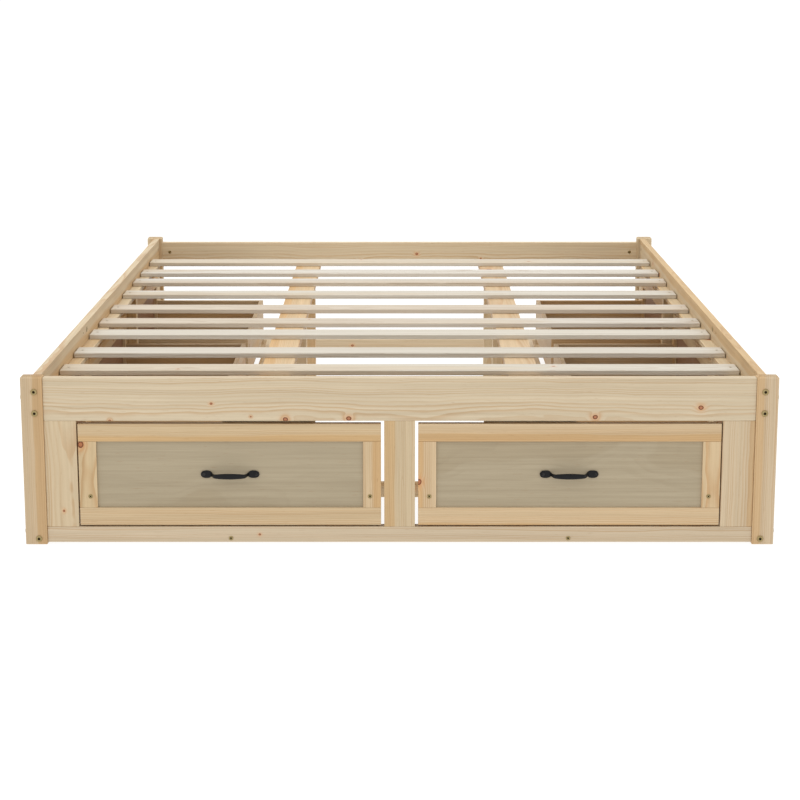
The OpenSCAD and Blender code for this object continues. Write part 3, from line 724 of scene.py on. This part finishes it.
# A pull, in millimetres. Places are distances from its middle.
PULL_RINGS = 96
PULL_SIDES = 32
PULL_SQUARE = 0.75           # 1 makes the section an oval, and less makes it squarer
PULL_END = 64.0
FOOT_FROM = 38.5             # where a foot begins
FOOT_HALF_H = 8.5
FOOT_HALF_D = 1.9
FOOT_OVAL = 2.6              # 2 makes a foot's outline an ellipse, and more makes it squarer
FOOT_TIP = 0.9               # how far along a foot's outer half it starts to thin
TIP_THINNING = 0.75
NECK_FROM = FOOT_FROM + 4    # where the neck starts to rise from the foot
NECK_TO = 31.0               # where it has risen
BOW_FROM = 40.0              # where the bow starts to grow fuller
BOW_OUT = 20.4               # how far the bow stands out, and how much further midway
BOW_RISE = 1.6
NECK_HALF_H = 3.3            # half height of the neck, and what the bow adds midway
BOW_HALF_H = 2.9
NECK_HALF_D = 1.2            # half depth that the neck adds to a foot's, and the bow midway
BOW_HALF_D = 1.5
SMALLEST_HALF = 0.05
TANGENT_STEP = 0.004         # how far along, from 0 to 1, the slope is measured


def pull_section(t):
    """Centre line and half sizes of a pull at t from 0 to 1, in mm: (x, out, half_h, half_d)."""
    x = PULL_END * (2 * t - 1)
    reach = abs(x)
    foot_middle = (FOOT_FROM + PULL_END) / 2
    off = (reach - foot_middle) / (PULL_END - foot_middle)
    oval = FOOT_HALF_H * max(0.0, 1 - abs(off) ** FOOT_OVAL) ** 0.5
    rise = max(0.0, min(1.0, (NECK_FROM - reach) / (NECK_FROM - NECK_TO)))
    rise = rise * rise * (3 - 2 * rise)
    bow = max(0.0, 1 - (reach / BOW_FROM) ** 2)
    out = FOOT_HALF_D + (BOW_OUT - FOOT_HALF_D) * rise + BOW_RISE * bow
    neck = 0.0 if reach > foot_middle else NECK_HALF_H + BOW_HALF_H * bow
    half_d = FOOT_HALF_D + (NECK_HALF_D + BOW_HALF_D * bow) * rise
    if off > FOOT_TIP:
        half_d *= 1 - TIP_THINNING * (off - FOOT_TIP) / (1 - FOOT_TIP)
    return x, out, max(neck, oval, SMALLEST_HALF), half_d


def make_pull(node):
    """Replaces a pull with a cast one: paddle feet, thin necks and a bow that is fullest midway."""
    low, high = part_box(node)
    out = OPENS_TOWARDS[BODY_OF[node]]
    right = UP.cross(out)
    centre = (Vector(low) + Vector(high)) / 2
    depth = abs((Vector(high) - Vector(low)).dot(out))
    base = centre - out * depth / 2
    bm = bmesh.new()
    loops = []
    for ring in range(PULL_RINGS + 1):
        t = ring / PULL_RINGS
        x, reach, half_h, half_d = pull_section(t)
        ahead = pull_section(min(1.0, t + TANGENT_STEP))
        behind = pull_section(max(0.0, t - TANGENT_STEP))
        along = (right * (ahead[0] - behind[0]) + out * (ahead[1] - behind[1])).normalized()
        face = UP.cross(along).normalized()
        middle = base + (right * x + out * reach) * MM
        loop = []
        for i in range(PULL_SIDES):
            angle = 2 * math.pi * i / PULL_SIDES
            up = math.copysign(abs(math.cos(angle)) ** PULL_SQUARE, math.cos(angle)) * half_h
            deep = math.copysign(abs(math.sin(angle)) ** PULL_SQUARE, math.sin(angle)) * half_d
            loop.append(bm.verts.new(middle + (UP * up + face * deep) * MM))
        loops.append(loop)
    for first, second in zip(loops, loops[1:]):
        for i in range(PULL_SIDES):
            j = (i + 1) % PULL_SIDES
            bm.faces.new((first[i], first[j], second[j], second[i]))
    bm.faces.new(loops[0])
    bm.faces.new(loops[-1][::-1])
    add_metal(node + "_cast", bm, IRON, node, sharp_above=60)


# ---------------------------------------------------------------- the bed

for node_name, slot_name in SLOT_OF.items():
    if slot_name in WOOD:
        make_boards(node_name)
    elif slot_name == "zinc":
        make_fasteners(node_name)
    else:
        make_pull(node_name)


# ---------------------------------------------------------------- studio

FLOOR_HALF = 60.0
FLOOR_STEPS = 24
FLOOR_DROP = 0.0005          # keeps the floor just clear of the posts' feet
FLOOR_GLOW = 0.86
WORLD_STRENGTH = 1.0
LENS = 83.47
SHIFT = (0.0005, -0.10)
CAMERA_PLACE = (0.0, -4.932, 1.248)
CAMERA_PITCH = 10.868        # degrees down


def make_floor():
    """A plain pale studio floor that glows a little, so that it stays pale under the bed."""
    bm = bmesh.new()
    bmesh.ops.create_grid(bm, x_segments=FLOOR_STEPS, y_segments=FLOOR_STEPS, size=FLOOR_HALF)
    mesh = bpy.data.meshes.new("floor")
    bm.to_mesh(mesh)
    bm.free()
    graph = Graph("floor")
    place = graph.add("ShaderNodeTexCoord").outputs["Object"]
    speckle = graph.noise(place, (40, 40, 40), detail=3.0)
    colour = graph.mix(speckle, (0.24, 0.24, 0.24), (0.27, 0.27, 0.27))
    mesh.materials.append(graph.finish(Base_Color=colour, Roughness=0.9, Specular_IOR_Level=0.0,
                                       Emission_Color=(1, 1, 1, 1),
                                       Emission_Strength=FLOOR_GLOW))
    floor = bpy.data.objects.new("floor", mesh)
    floor.location.z = -FLOOR_DROP
    bpy.context.scene.collection.objects.link(floor)


def add_softbox(name, at, towards, width, height, watts, colour=(1, 1, 1)):
    """A rectangular soft light at one point that shines towards another."""
    light = bpy.data.lights.new(name, "AREA")
    light.shape = "RECTANGLE"
    light.size, light.size_y = width, height
    light.energy = watts
    light.color = colour
    holder = bpy.data.objects.new(name, light)
    holder.location = at
    holder.rotation_euler = (Vector(towards) - Vector(at)).to_track_quat("-Z", "Y").to_euler()
    bpy.context.scene.collection.objects.link(holder)


def make_world(strength):
    """Even white light from all round."""
    world = bpy.data.worlds.new("studio")
    world.use_nodes = True
    background = world.node_tree.nodes["Background"]
    background.inputs["Color"].default_value = (1.0, 1.0, 1.0, 1.0)
    background.inputs["Strength"].default_value = strength
    bpy.context.scene.world = world


def make_camera():
    """The view from beyond the foot, on the bed's middle line, looking a little down."""
    data = bpy.data.cameras.new("camera")
    data.lens = LENS
    data.sensor_width = 36.0
    data.shift_x, data.shift_y = SHIFT
    data.dof.use_dof = False
    data.clip_end = 500.0
    camera = bpy.data.objects.new("camera", data)
    camera.location = CAMERA_PLACE
    camera.rotation_euler = (math.radians(90 - CAMERA_PITCH), 0.0, 0.0)
    bpy.context.scene.collection.objects.link(camera)
    bpy.context.scene.camera = camera


make_floor()
make_world(WORLD_STRENGTH)
add_softbox("key", (-2.6, -4.2, 3.0), (0, -0.4, 0.2), 2.0, 1.4, 12)
add_softbox("top", (0.0, 0.4, 4.2), (0, 0.2, 0.0), 3.0, 3.0, 60, colour=(0.91, 0.96, 1.0))
make_camera()
bpy.context.scene.view_settings.view_transform = "Standard"
